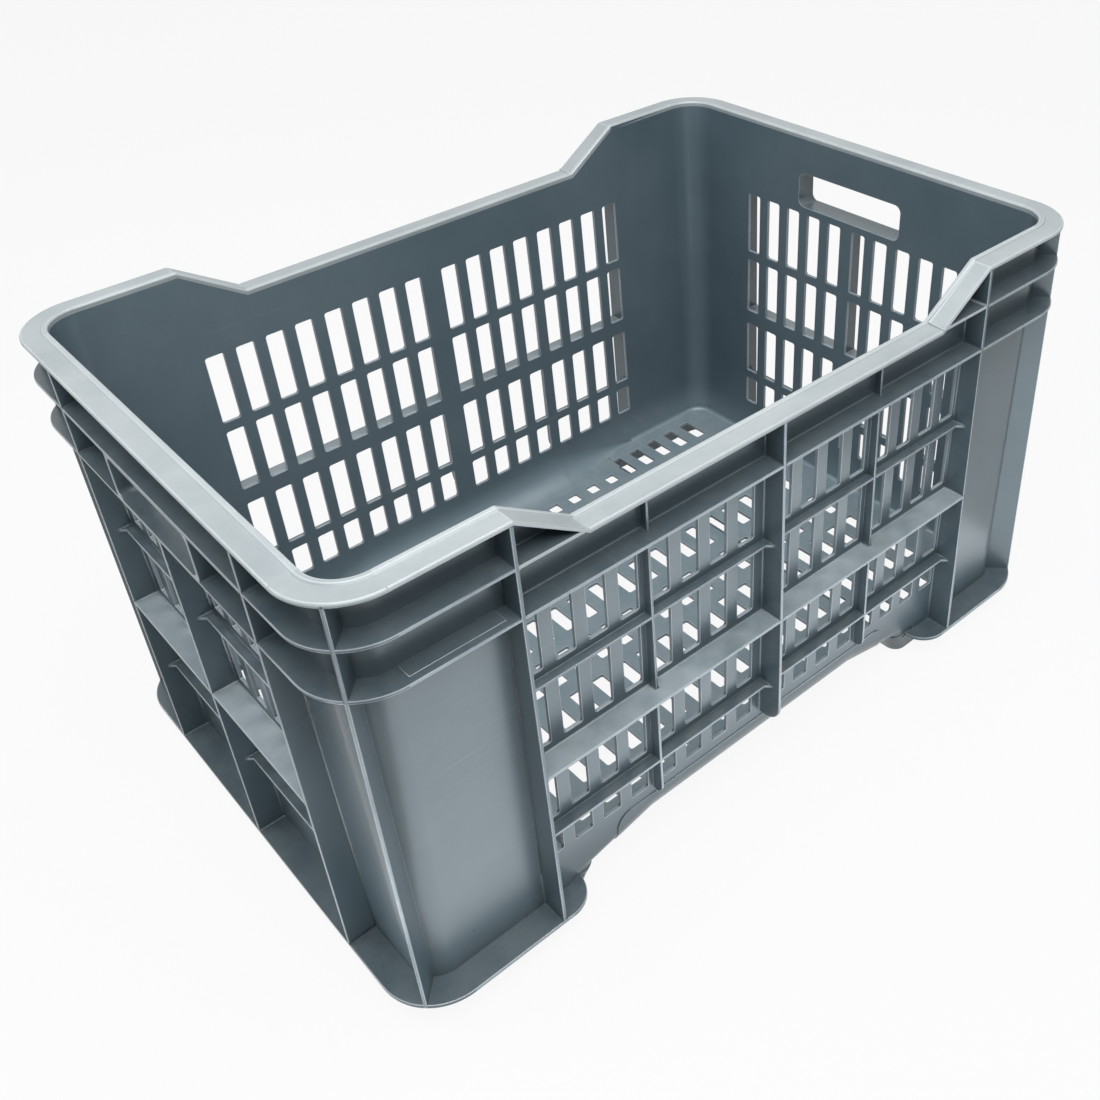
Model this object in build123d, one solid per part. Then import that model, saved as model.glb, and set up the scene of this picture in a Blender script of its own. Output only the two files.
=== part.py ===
# Ventilated stacking crate for orchard and vineyard harvests.
# One moulded body, in regions that meet face to face: floor, feet, walls, ribs, ledges, corner posts and rim.
# X runs along the length, Y across the width, Z up; the origin is on the ground under the crate's middle.
# Heights are measured from the seat, the underside of the plinth; only the feet reach below it.
import os
from math import acos, cos, pi, sin

from build123d import *

# Outer size, mm
LENGTH = 600.0
WIDTH = 400.0
HEIGHT = 335.0
OUTLINE_RADIUS = 40.0  # plan corner of rim, ledges and plinths
LONG_EDGE = WIDTH / 2  # from the middle to the outline of a long wall
END_EDGE = LENGTH / 2  # from the middle to the outline of an end wall

# Shell
WALL = 2.6
DRAFT = 4.8  # each wall stands this much further out at the rim than at the seat

# Feet, which locate a crate in the mouth of the one beneath
FOOT_DEPTH = 17.0
FOOT_INSET = 2.0  # at the seat the feet stand this far inside the walls' outer faces
FOOT_LEAN = 0.1  # their sides draw in by this share of the depth
FOOT_CORNER = 10.0  # rounding beside the arches
FOOT_TO_ARCH = 3.9  # from the arch's end to the feet, at the seat
CHEEK_LEAN = 0.45  # slope of feet and cheeks at the arch's ends
UPSTAND_INSET = 0.8  # upstand from the feet to the floor, clear of the walls
RIM_TOP = HEIGHT - FOOT_DEPTH

# Rim
RIM_WIDTH = 17.0  # from the outline to the inside of the mouth
RIM_HEIGHT = 3.8
BEAD_WIDTH = 4.6  # raised bead round the mouth
BEAD_HEIGHT = 1.2
RIM_EASE = 0.9  # eased edges of bead and flange
DIP_DEPTH = 29.0  # drop of the rim in the middle of a long side
TOWER = 109.5  # length of a high corner on a long side, from the outline
RAMP = 44.5  # length of the slope down to the low middle
TOWER_END = END_EDGE - TOWER
DIP_END = TOWER_END - RAMP
RIM_UNDER = RIM_TOP - RIM_HEIGHT
DIP_TOP = RIM_TOP - DIP_DEPTH
DIP_UNDER = DIP_TOP - RIM_HEIGHT

# Ledges
LEDGE = 2.1
GRIP_DROP = 0.2  # the grip ledge lies this far below the low rim
HAND_GAP = 30.9  # clear height between shoulder ledge and grip ledge
MIDDLE_SILL = 5.0  # from the middle ledge up to the slots above it
BASE_LEDGE_TOP = 3.0
GRIP_LEDGE_TOP = DIP_TOP - GRIP_DROP
GRIP_LEDGE_UNDER = GRIP_LEDGE_TOP - LEDGE
SHOULDER_LEDGE_TOP = GRIP_LEDGE_UNDER - HAND_GAP
SHOULDER_LEDGE_UNDER = SHOULDER_LEDGE_TOP - LEDGE

# Floor
FLOOR_TOP = 5.5
FLOOR_UNDER = 2.5
FLOOR_CORNER_EASE = 1.0  # floor corners are this much rounder than the mouth, to clear it
FLOOR_CLEARANCE = 0.3  # between the floor and the rounded cheeks beside the arches
FLOOR_SLOT = 10.8
FLOOR_SLOT_LENGTH = 30.0
FLOOR_SLOT_CORNER = 1.5
FLOOR_END_MARGIN = 58.0  # from the outline to the middle of the last column
FLOOR_ROW_FIRST = 7.0  # from the middle to the nearest row
FLOOR_COLUMNS = 11  # on each side of the middle column
FLOOR_ROWS = 3  # full rows on each side of the middle
EDGE_ROW_SHORT = 11.5  # edge row slots beside the coves
EDGE_ROW_LONG = 27.0  # edge row slots in the corners
EDGE_ROW_SHORT_COLUMNS = 6
EDGE_ROW_MARGIN = 3.6  # from an edge row to its cove

# Cove between long wall and floor, and the arch under it
COVE_RADIUS = 26.5
COVE_SIZE = 27.0  # height and depth of the cove
COVE_SINK = 0.4  # the arc would end this far under the floor's top, so it meets the floor at a slight angle
COVE_PROUD = 0.7  # the cove's outer skin stands out from the wall above
COVE_LEVEL = FLOOR_TOP + COVE_SIZE  # where wall and cove meet
ARCH_TO_END = 153.0  # from the outline to the arch, along a long side
ARCH_HALF = END_EDGE - ARCH_TO_END
COVE_END = ARCH_HALF - 15.0  # the outer skin stops short of the arch's ends
SKIN_CORNER = 12.0
FOOT_LIP = 0.6  # lip round the feet at plinth height, proud of the cheeks above
CHEEK_END = ARCH_HALF + 35.0  # the cove runs out to nothing here
COVE_TAPER = ARCH_HALF - 48.0  # from here its radius shrinks
COVE_LEAST = 0.6
TOE_END = ARCH_HALF + 25.0  # from here the wall's lower edge rises to the arch
TOE_EDGE = ((20.0, 9.0), (8.0, 5.0))  # rise of that edge: (along from the arch's end, below the skin's end)
TOE_HIGH = 19.5  # height of the edge where it meets the skin

# Ribs
DEEP_RIB = 2.2  # thickness of ribs that reach the outline
THIN_RIB = 1.8
THIN_RIB_SETBACK = 10.0  # thin ribs stop this far inside the outline
THIN_RIB_FLARE = 4.0  # level ribs run out this much at their ends
LONG_RIB_TO_END = 109.1  # from the outline to the deep ribs beside the corners, on a long wall
END_RIB_TO_SIDE = 81.5  # the same on an end wall
LONG_RIB_INNER = END_EDGE - LONG_RIB_TO_END
END_RIB_INNER = LONG_EDGE - END_RIB_TO_SIDE
LONG_RIB_OUTER = LONG_RIB_INNER + DEEP_RIB
END_RIB_OUTER = END_RIB_INNER + DEEP_RIB
RIB_TOE_LOW = COVE_LEVEL + 4.5  # foot of the upright ribs on a long wall
DEEP_TOE = 14.0  # rounding of the centre rib's foot
THIN_TOE = 6.5

# Slots: four rows between shoulder ledge and coves, from the top, sharing the height in these proportions
ROW_SHARES = (53.4, 50.7, 49.8, 25.7)
ROW_BARS = (8.3, 13.4, 8.1)  # bars between the rows
TOP_BAR = 3.3
BOTTOM_BAR = 8.5
SLOT_CORNER = 1.8
LONG_SLOT = 13.9
LONG_SLOT_FIRST = 9.7  # from the middle of the wall to the nearest slot
LONG_SLOTS_PER_CELL = 4
LONG_CELL_GAP = 0.9  # extra bar width beside the thin upright rib
LONG_SIDE_BAR = 2.6  # from the last slot to the deep rib
END_SLOT = 13.1
END_SLOT_FIRST = 6.4
END_SLOTS_PER_SIDE = 5
END_SIDE_BAR = 7.4

# Hand hole, between the grip ledge and the shoulder ledge
HAND_HOLE_WIDTH = 106.0
HAND_HOLE_HEIGHT = 29.0
HAND_HOLE_CORNER = 6.0
SLEEVE_WALL = 2.4
HAND_HOLE_MIDDLE = (SHOULDER_LEDGE_TOP + GRIP_LEDGE_UNDER) / 2

# Plinth
LOBE_START = LONG_RIB_INNER - 6.4  # where the plinth's outline leaves the long edge
LOBE_LENGTH = 20.5


def slot_rows():
    """Low and high end of each row of slots, from the top row down."""
    high = SHOULDER_LEDGE_UNDER - TOP_BAR
    room = high - COVE_LEVEL - BOTTOM_BAR - sum(ROW_BARS)
    rows = []
    for share, bar in zip(ROW_SHARES, (*ROW_BARS, BOTTOM_BAR)):
        low = high - room * share / sum(ROW_SHARES)
        rows.append((low, high))
        high = low - bar
    return rows


# Levels set by the rows of slots
SLOT_ROWS = slot_rows()
MIDDLE_LEDGE_TOP = SLOT_ROWS[1][0] - MIDDLE_SILL
MIDDLE_LEDGE_UNDER = MIDDLE_LEDGE_TOP - LEDGE
THIN_RIB_LEVELS = [(SLOT_ROWS[upper][0] + SLOT_ROWS[upper + 1][1]) / 2 for upper in (0, 2)]


def inner_face(edge, height):
    """Distance from the crate's middle to the inside of a wall at a height."""
    return edge - RIM_WIDTH - DRAFT * (1 - height / RIM_TOP)


def outer_face(edge, height):
    """Distance from the crate's middle to the outside of a wall at a height."""
    return inner_face(edge, height) + WALL


def section_face(points, place, toe=0.0):
    """Section of a wall that faces -Y, from points of (distance out, height); toe rounds the last of them."""
    corners = [(-out, height) for out, height in points]
    face = Polygon(*corners, align=None).face()
    if toe:
        last = face.vertices().sort_by_distance((*corners[-1], 0))[0]
        face = face.fillet_2d(toe, [last])
    return Plane.YZ.offset(place) * face


def along_wall(points, start, end, toe=0.0):
    """Prism along a wall that faces -Y, from points of (distance out, height)."""
    return extrude(section_face(points, start, toe), amount=end - start, dir=(1, 0, 0))


def through_wall(edge, outline, nearest):
    """Prism through a wall that faces -Y, from nearest out, of an outline in (along, height)."""
    return extrude(Plane.XZ.offset(nearest) * outline, amount=edge - nearest, dir=(0, -1, 0))


def wall_cutter(edge, outline):
    """Prism through the whole depth of a wall."""
    return through_wall(edge, outline, inner_face(edge, 0) - WALL)


def wall_plate(edge, low, high, start, end):
    """Length of plain wall with its draft."""
    points = [
        (inner_face(edge, low), low),
        (inner_face(edge, high), high),
        (outer_face(edge, high), high),
        (outer_face(edge, low), low),
    ]
    return along_wall(points, start, end)


def stand_off(edge, reach, low, high, start, end, toe=0.0):
    """Rib or ledge from the outside of a wall to reach; toe rounds its lower outer edge."""
    points = [
        (outer_face(edge, low), low),
        (outer_face(edge, high), high),
        (reach, high),
        (reach, low),
    ]
    return along_wall(points, start, end, toe)


def level_rib(edge, level, start, end):
    """Thin level rib that runs out at its ends."""
    root = inner_face(edge, level) + WALL / 2
    reach = edge - THIN_RIB_SETBACK
    tip = reach + THIN_RIB_FLARE
    plan = Polygon(
        (start, -root),
        (end, -root),
        (end, -tip),
        (end - THIN_RIB_FLARE, -reach),
        (start + THIN_RIB_FLARE, -reach),
        (start, -tip),
        align=None,
    )
    return extrude(Pos(0, 0, level - THIN_RIB / 2) * plan, amount=THIN_RIB)


def upright_rib(edge, low, high, place, toe=0.0):
    """Thin upright rib."""
    reach = edge - THIN_RIB_SETBACK
    return stand_off(edge, reach, low, high, place - THIN_RIB / 2, place + THIN_RIB / 2, toe)


def slots(edge, places, width):
    """Cutters for the slots at these places along a wall, in all rows."""
    outline = Sketch() + [
        Pos(place, (low + high) / 2) * RectangleRounded(width, high - low, SLOT_CORNER)
        for place in places
        for low, high in SLOT_ROWS
    ]
    return wall_cutter(edge, outline)


def both_ways(places):
    """The same places on both sides of a wall's middle."""
    return [sign * place for sign in (-1, 1) for place in places]


def long_slot_pitch():
    """Spacing that fits two cells of slots between the centre rib and a deep rib."""
    steps = 2 * LONG_SLOTS_PER_CELL - 1
    return (LONG_RIB_INNER - LONG_SLOT_FIRST - LONG_SLOT - LONG_CELL_GAP - LONG_SIDE_BAR) / steps


def long_slot_places():
    """Middles of a long wall's slots, in two cells on each side of the centre rib."""
    first = LONG_SLOT_FIRST + LONG_SLOT / 2
    pitch = long_slot_pitch()
    near = [first + pitch * step for step in range(LONG_SLOTS_PER_CELL)]
    far = [place + pitch * LONG_SLOTS_PER_CELL + LONG_CELL_GAP for place in near]
    return both_ways(near + far)


def end_slot_places():
    """Middles of an end wall's slots."""
    first = END_SLOT_FIRST + END_SLOT / 2
    pitch = (END_RIB_INNER - END_SLOT_FIRST - END_SLOT - END_SIDE_BAR) / (END_SLOTS_PER_SIDE - 1)
    return both_ways([first + pitch * step for step in range(END_SLOTS_PER_SIDE)])


def thin_upright_place():
    """Where a long wall's thin upright rib stands: on the wide bar between its two cells."""
    pitch = long_slot_pitch()
    last_slot_end = LONG_SLOT_FIRST + (LONG_SLOTS_PER_CELL - 1) * pitch + LONG_SLOT
    return last_slot_end + (pitch - LONG_SLOT + LONG_CELL_GAP) / 2


def level_ribs(edge, rib_inner):
    """Thin level ribs between the centre rib and the deep ribs of a wall."""
    near = DEEP_RIB / 2
    bays = ((-rib_inner, -near), (near, rib_inner))
    return [level_rib(edge, level, *bay) for level in THIN_RIB_LEVELS for bay in bays]


def long_grille():
    """Long wall between its corner ribs: slotted plate with thin ribs, clear of the deep ledges."""
    plate = wall_plate(LONG_EDGE, COVE_LEVEL, DIP_UNDER, -LONG_RIB_OUTER, LONG_RIB_OUTER)
    ribs = level_ribs(LONG_EDGE, LONG_RIB_INNER)
    for place in both_ways([thin_upright_place()]):
        ribs += [
            upright_rib(LONG_EDGE, RIB_TOE_LOW, MIDDLE_LEDGE_UNDER, place, THIN_TOE),
            upright_rib(LONG_EDGE, MIDDLE_LEDGE_TOP, SHOULDER_LEDGE_UNDER, place),
            upright_rib(LONG_EDGE, SHOULDER_LEDGE_TOP, DIP_UNDER, place),
        ]
    return plate + ribs - slots(LONG_EDGE, long_slot_places(), LONG_SLOT)


def end_grille():
    """End wall below the hand hole: slotted plate with thin level ribs."""
    plate = wall_plate(END_EDGE, 0, SHOULDER_LEDGE_UNDER, -END_RIB_OUTER, END_RIB_OUTER)
    return plate + level_ribs(END_EDGE, END_RIB_INNER) - slots(END_EDGE, end_slot_places(), END_SLOT)


def hand_hole_panel():
    """Upper part of an end wall, with the hand hole and the sleeve that carries it out to the outline."""
    panel = wall_plate(END_EDGE, SHOULDER_LEDGE_UNDER, RIM_UNDER, -END_RIB_OUTER, END_RIB_OUTER)
    sleeve_half = HAND_HOLE_WIDTH / 2 + SLEEVE_WALL
    sleeve = stand_off(
        END_EDGE, END_EDGE, SHOULDER_LEDGE_TOP, GRIP_LEDGE_UNDER, -sleeve_half, sleeve_half
    )
    hole = RectangleRounded(HAND_HOLE_WIDTH, HAND_HOLE_HEIGHT, HAND_HOLE_CORNER)
    return panel + sleeve - wall_cutter(END_EDGE, Pos(0, HAND_HOLE_MIDDLE) * hole)


def block(low, high):
    """Box between two corners."""
    middle = [(a + b) / 2 for a, b in zip(low, high)]
    size = [b - a for a, b in zip(low, high)]
    return Pos(*middle) * Box(*size)


def cove_edge():
    """Distance out of the line where the floor and the front cove meet."""
    return inner_face(LONG_EDGE, COVE_LEVEL) - COVE_SIZE


def cove_arc(station, out):
    """Start, middle and end of the front cove's arc at a station along the wall, moved out by a thickness."""
    share = (CHEEK_END - abs(station)) / (CHEEK_END - COVE_TAPER)
    radius = max(COVE_LEAST, COVE_RADIUS * min(1, share))
    level = FLOOR_TOP + radius - COVE_SINK
    centre = inner_face(LONG_EDGE, level) - radius
    turn = acos((level - FLOOR_TOP + out) / (radius + out))
    return [
        (-centre - (radius + out) * sin(angle), level - (radius + out) * cos(angle))
        for angle in (turn, (turn + pi / 2) / 2, pi / 2)
    ]


def cove_section(station, out):
    """Section of the cove's plate, of thickness out, from the floor's edge up to the wall."""
    inner, outer = cove_arc(station, 0), cove_arc(station, out)
    top = -inner_face(LONG_EDGE, COVE_LEVEL)
    lines = ThreePointArc(*inner) + Polyline(inner[2], (top, COVE_LEVEL), (top - out, COVE_LEVEL), outer[2])
    lines += ThreePointArc(*outer)
    lines += Polyline(outer[0], (-cove_edge(), FLOOR_TOP - out), (-cove_edge(), FLOOR_TOP), inner[0])
    return Plane.YZ.offset(station) * make_face(lines)


def cove_plate(out, *stations):
    """Rounded plate of the cove, of thickness out, through these stations along the front wall."""
    return loft([cove_section(station, out) for station in stations], ruled=True)


def room_section(station):
    """Section of the room inside the cove, past its top and its edge on the floor."""
    inner = cove_arc(station, 0)
    high = COVE_LEVEL + WALL
    near = WALL - cove_edge()
    lines = ThreePointArc(*inner)
    lines += Polyline(
        inner[2], (-inner_face(LONG_EDGE, high), high), (near, high), (near, FLOOR_TOP), inner[0]
    )
    return Plane.YZ.offset(station) * make_face(lines)


def bottom_cove():
    """Rounded plate that carries a long wall's lower edge in to the floor, with its raised outer skin."""
    stations = (-COVE_END, -COVE_TAPER, COVE_TAPER, COVE_END)
    skin = cove_plate(WALL + COVE_PROUD, *stations)
    outline = RectangleRounded(2 * COVE_END, 2 * COVE_LEVEL, SKIN_CORNER)
    return cove_plate(WALL, *stations) + (skin & through_wall(LONG_EDGE, outline, cove_edge()))


def foot_plan(level, inset):
    """Plan of the left foot at a level, from the end wall to the arches, drawn in all round by inset."""
    side = outer_face(LONG_EDGE, 0) - FOOT_INSET + FOOT_LEAN * level - inset
    far = END_EDGE - LONG_EDGE + side
    near = ARCH_HALF + FOOT_TO_ARCH - CHEEK_LEAN * level + inset
    plan = Pos(-(far + near) / 2, 0, level) * Rectangle(far - near, 2 * side)
    plan = fillet(plan.vertices().group_by(Axis.X)[0], OUTLINE_RADIUS - LONG_EDGE + side)
    return fillet(plan.vertices().group_by(Axis.X)[-1], FOOT_CORNER - inset)


def foot_body(inset, low, high):
    """Solid within the left foot's leaning sides, between two levels."""
    return loft([foot_plan(low, inset), foot_plan(high, inset)], ruled=True)


def foot_wall(inset, low, high):
    """Leaning wall round the left foot, between two levels."""
    return foot_body(inset, low, high) - foot_body(inset + WALL, low, high)


def cheek_bay():
    """Space of the front left cheek, from the cove's edge outwards."""
    return block((-CHEEK_END, -LONG_EDGE, 0), (0, -cove_edge(), COVE_LEVEL))


def foot_ring():
    """Left foot: a leaning ring below the seat, with an upstand to the floor except under the cheeks."""
    upstand = extrude(foot_plan(0, UPSTAND_INSET) - foot_plan(0, WALL), amount=FLOOR_UNDER)
    upstand -= [cheek_bay(), mirror(cheek_bay(), about=Plane.XZ)]
    return foot_wall(0, -FOOT_DEPTH, 0) + upstand


def outline_sketch(inset=0.0):
    """The crate's plan outline, drawn in all round by inset."""
    return RectangleRounded(LENGTH - 2 * inset, WIDTH - 2 * inset, OUTLINE_RADIUS - inset)


def drafted_body(inset):
    """Full-height body whose sides lie inset inside the outline at the rim, and lean in by the draft."""
    return loft([outline_sketch(inset + DRAFT), Pos(0, 0, RIM_TOP) * outline_sketch(inset)], ruled=True)


def plinth_lobe():
    """Rounded end of a front left plinth, past its deep rib."""
    wall_line = -outer_face(LONG_EDGE, 0) + WALL / 2
    depth = LONG_EDGE + wall_line
    oval = Pos(-LOBE_START, wall_line) * Ellipse(LOBE_LENGTH, depth)
    straight = LONG_RIB_OUTER - LOBE_START
    oval += Pos(-LOBE_START - straight / 2, wall_line - depth / 2) * Rectangle(straight, depth)
    reach = LONG_RIB_OUTER + LOBE_LENGTH
    kept = Pos(-LONG_RIB_OUTER + reach / 2, wall_line - LONG_EDGE / 2) * Rectangle(reach, LONG_EDGE)
    return extrude(oval & kept, amount=BASE_LEDGE_TOP)


def toe_gap():
    """Space under the front wall's lower edge on the left, in (along, height), from toe to cove skin."""
    rise = [(-ARCH_HALF - along, TOE_HIGH - drop) for along, drop in TOE_EDGE]
    low, high = (-TOE_END, BASE_LEDGE_TOP), (-COVE_END, TOE_HIGH)
    edge = Spline(low, *rise, high)
    return make_face(edge + Polyline(high, (-COVE_END, 0), (-TOE_END, 0), low))


def arch_cheek():
    """Sloping closure at the left end of the front arch, between wall, foot, floor and cove."""
    closure = foot_wall(-FOOT_LIP, 0, BASE_LEDGE_TOP) + foot_wall(0, 0, COVE_LEVEL)
    inside = foot_body(0, 0, COVE_LEVEL)
    above_floor = block((-END_EDGE, -LONG_EDGE, FLOOR_TOP), (0, 0, COVE_LEVEL))
    closure = (closure + (inside & above_floor)) & cheek_bay() & drafted_body(RIM_WIDTH - WALL)
    closure -= loft([room_section(-CHEEK_END), room_section(-COVE_END)], ruled=True)
    return closure + (cove_plate(WALL, -TOE_END, -COVE_END) - inside)


def corner_post():
    """Front left corner: rounded shell, ledge corners, plinth, 45 degree fin and toe beside the arch."""
    mouth = drafted_body(RIM_WIDTH)
    corner = block((-END_EDGE, -LONG_EDGE, 0), (-LONG_RIB_OUTER, -END_RIB_OUTER, RIM_UNDER))
    toe = block((-LONG_RIB_OUTER, -LONG_EDGE, 0), (-COVE_END, 0, COVE_LEVEL))
    toe -= wall_cutter(LONG_EDGE, toe_gap())
    post = drafted_body(RIM_WIDTH - WALL) & (corner + toe)
    full_outline = outline_sketch()
    for low, high in (
        (0, BASE_LEDGE_TOP),
        (SHOULDER_LEDGE_UNDER, SHOULDER_LEDGE_TOP),
        (GRIP_LEDGE_UNDER, GRIP_LEDGE_TOP),
    ):
        post += extrude(Pos(0, 0, low) * full_outline, amount=high - low) & corner
    fin = Pos(OUTLINE_RADIUS / 2, 0, RIM_UNDER / 2) * Box(OUTLINE_RADIUS, DEEP_RIB, RIM_UNDER)
    fin = Pos(OUTLINE_RADIUS - END_EDGE, OUTLINE_RADIUS - LONG_EDGE) * Rot(0, 0, 225) * fin
    post += fin & extrude(full_outline, amount=RIM_TOP)
    return post + plinth_lobe() - mouth + arch_cheek()


def floor_slots():
    """Outlines of the floor's slots: full rows across the middle and an edge row along each long wall."""
    pitch_along = (END_EDGE - FLOOR_END_MARGIN) / FLOOR_COLUMNS
    edge_start = cove_edge() - EDGE_ROW_MARGIN - EDGE_ROW_SHORT
    pitch_across = (edge_start - FLOOR_ROW_FIRST) / FLOOR_ROWS
    outlines = []
    for column in range(-FLOOR_COLUMNS, FLOOR_COLUMNS + 1):
        short = abs(column) <= EDGE_ROW_SHORT_COLUMNS
        lengths = [FLOOR_SLOT_LENGTH] * FLOOR_ROWS + [EDGE_ROW_SHORT if short else EDGE_ROW_LONG]
        for row, length in enumerate(lengths):
            across = FLOOR_ROW_FIRST + row * pitch_across + length / 2
            slot = RectangleRounded(FLOOR_SLOT, length, FLOOR_SLOT_CORNER)
            outlines += [Pos(column * pitch_along, place) * slot for place in both_ways([across])]
    return Sketch() + outlines


def floor_grid():
    """Slotted floor, notched along both long sides for the coves and the cheeks at their ends."""
    half_length = inner_face(END_EDGE, FLOOR_UNDER)
    half_width = inner_face(LONG_EDGE, FLOOR_UNDER)
    corner = OUTLINE_RADIUS - (LONG_EDGE - half_width) + FLOOR_CORNER_EASE
    plan = RectangleRounded(2 * half_length, 2 * half_width, corner) - floor_slots()
    floor = extrude(Pos(0, 0, FLOOR_UNDER) * plan, amount=FLOOR_TOP - FLOOR_UNDER)
    kept = foot_body(WALL + FLOOR_CLEARANCE, 0, COVE_LEVEL)
    notch = block((-CHEEK_END, -LONG_EDGE, 0), (CHEEK_END, -cove_edge(), COVE_LEVEL))
    notch = notch - kept - mirror(kept, about=Plane.YZ)
    return floor - notch - mirror(notch, about=Plane.XZ)


def rim_section(inner, top):
    """Rim in (distance out, height): a flange with a raised bead along the mouth."""
    outer = inner + RIM_WIDTH
    flange_top = top - BEAD_HEIGHT
    under = top - RIM_HEIGHT
    return [
        (inner, under),
        (inner, top - RIM_EASE),
        (inner + RIM_EASE, top),
        (inner + BEAD_WIDTH - BEAD_HEIGHT, top),
        (inner + BEAD_WIDTH, flange_top),
        (outer - RIM_EASE, flange_top),
        (outer, flange_top - RIM_EASE),
        (outer, under),
    ]


def rim_length(edge, top, start, end):
    """Straight length of rim."""
    return along_wall(rim_section(edge - RIM_WIDTH, top), start, end)


def rim_corner():
    """Rounded front left corner of the rim."""
    section = Polygon(*rim_section(OUTLINE_RADIUS - RIM_WIDTH, RIM_TOP), align=None)
    quarter = revolve(Plane.XZ * section, axis=Axis.Z, revolution_arc=90)
    return Pos(OUTLINE_RADIUS - END_EDGE, OUTLINE_RADIUS - LONG_EDGE) * Rot(0, 0, 180) * quarter


def rim_tower():
    """High front left length of rim, with its ramp, the wall under the ramp and the grip ledge's end."""
    tower = rim_length(LONG_EDGE, RIM_TOP, OUTLINE_RADIUS - END_EDGE, -TOWER_END)
    slope = Vector(RAMP, 0, -DIP_DEPTH)
    top_section = section_face(rim_section(LONG_EDGE - RIM_WIDTH, RIM_TOP), -TOWER_END)
    tower += extrude(top_section, amount=slope.length, dir=slope)
    web = Polygon(
        (-LONG_RIB_OUTER, DIP_UNDER),
        (-DIP_END, DIP_UNDER),
        (-TOWER_END, RIM_UNDER),
        (-LONG_RIB_OUTER, RIM_UNDER),
        align=None,
    )
    wall = wall_plate(LONG_EDGE, DIP_UNDER, RIM_UNDER, -LONG_RIB_OUTER, -DIP_END)
    tower += wall & wall_cutter(LONG_EDGE, web)
    return tower + stand_off(
        LONG_EDGE, LONG_EDGE, GRIP_LEDGE_UNDER, GRIP_LEDGE_TOP, -LONG_RIB_INNER, -DIP_END
    )


def long_wall_pieces():
    """Pieces of a long wall that faces -Y, by name; {minus} and {plus} stand for the wall's two halves."""
    pieces = {
        "grille": long_grille(),
        "bottom_cove": bottom_cove(),
        "centre_rib": stand_off(
            LONG_EDGE, LONG_EDGE, RIB_TOE_LOW, DIP_UNDER, -DEEP_RIB / 2, DEEP_RIB / 2, DEEP_TOE
        ),
        "rim_dip": rim_length(LONG_EDGE, DIP_TOP, -DIP_END, DIP_END),
    }
    for half, sign in (("{minus}", -1), ("{plus}", 1)):
        side = sorted((sign * LONG_RIB_INNER, sign * LONG_RIB_OUTER))
        bay = sorted((sign * DEEP_RIB / 2, sign * LONG_RIB_INNER))
        pieces[half + "_deep_rib"] = stand_off(LONG_EDGE, LONG_EDGE, BASE_LEDGE_TOP, RIM_UNDER, *side)
        pieces[half + "_shoulder_ledge"] = stand_off(
            LONG_EDGE, LONG_EDGE, SHOULDER_LEDGE_UNDER, SHOULDER_LEDGE_TOP, *bay
        )
        pieces[half + "_middle_ledge"] = stand_off(
            LONG_EDGE, LONG_EDGE, MIDDLE_LEDGE_UNDER, MIDDLE_LEDGE_TOP, *bay
        )
    return pieces


def end_wall_pieces():
    """Pieces of an end wall, drawn facing -Y."""
    bay = (-END_RIB_INNER, END_RIB_INNER)
    pieces = {
        "grille": end_grille(),
        "hand_hole_panel": hand_hole_panel(),
        "centre_rib": stand_off(
            END_EDGE, END_EDGE, BASE_LEDGE_TOP, SHOULDER_LEDGE_UNDER, -DEEP_RIB / 2, DEEP_RIB / 2
        ),
        "grip_ledge": stand_off(END_EDGE, END_EDGE, GRIP_LEDGE_UNDER, GRIP_LEDGE_TOP, *bay),
        "shoulder_ledge": stand_off(END_EDGE, END_EDGE, SHOULDER_LEDGE_UNDER, SHOULDER_LEDGE_TOP, *bay),
        "base_ledge": stand_off(END_EDGE, END_EDGE, 0, BASE_LEDGE_TOP, -END_RIB_OUTER, END_RIB_OUTER),
        "rim": rim_length(END_EDGE, RIM_TOP, OUTLINE_RADIUS - LONG_EDGE, LONG_EDGE - OUTLINE_RADIUS),
    }
    for half, sign in (("{minus}", -1), ("{plus}", 1)):
        side = sorted((sign * END_RIB_INNER, sign * END_RIB_OUTER))
        half_bay = sorted((sign * DEEP_RIB / 2, sign * END_RIB_INNER))
        pieces[half + "_deep_rib"] = stand_off(END_EDGE, END_EDGE, BASE_LEDGE_TOP, RIM_UNDER, *side)
        pieces[half + "_middle_ledge"] = stand_off(
            END_EDGE, END_EDGE, MIDDLE_LEDGE_UNDER, MIDDLE_LEDGE_TOP, *half_bay
        )
    return pieces


def corner_pieces():
    """Pieces of the front left corner."""
    return {"corner_post": corner_post(), "rim_corner": rim_corner(), "rim_tower": rim_tower()}


def crate():
    """All pieces of the crate by name, with the seat at height 0."""
    foot = foot_ring()
    long_wall, end_wall = long_wall_pieces(), end_wall_pieces()
    nodes = {"floor_grid": floor_grid(), "left_foot_ring": foot, "right_foot_ring": Rot(0, 0, 180) * foot}
    walls = (
        ("front", 0, "left", "right", long_wall),
        ("back", 180, "right", "left", long_wall),
        ("left_end", -90, "back", "front", end_wall),
        ("right_end", 90, "front", "back", end_wall),
    )
    for wall, turn, minus, plus, pieces in walls:
        for name, piece in pieces.items():
            nodes[wall + "_" + name.format(minus=minus, plus=plus)] = Rot(0, 0, turn) * piece
    for name, piece in corner_pieces().items():
        nodes["front_left_" + name] = piece
        nodes["front_right_" + name] = mirror(piece, about=Plane.YZ)
        nodes["back_left_" + name] = mirror(piece, about=Plane.XZ)
        nodes["back_right_" + name] = Rot(0, 0, 180) * piece
    return nodes


os.makedirs("parts", exist_ok=True)
for node, shape in crate().items():
    export_step(Pos(0, 0, FOOT_DEPTH) * shape, f"parts/{node}.step")
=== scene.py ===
"""The looks of the ventilated stacking crate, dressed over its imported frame."""
from math import cos, pi, radians, sin

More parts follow.
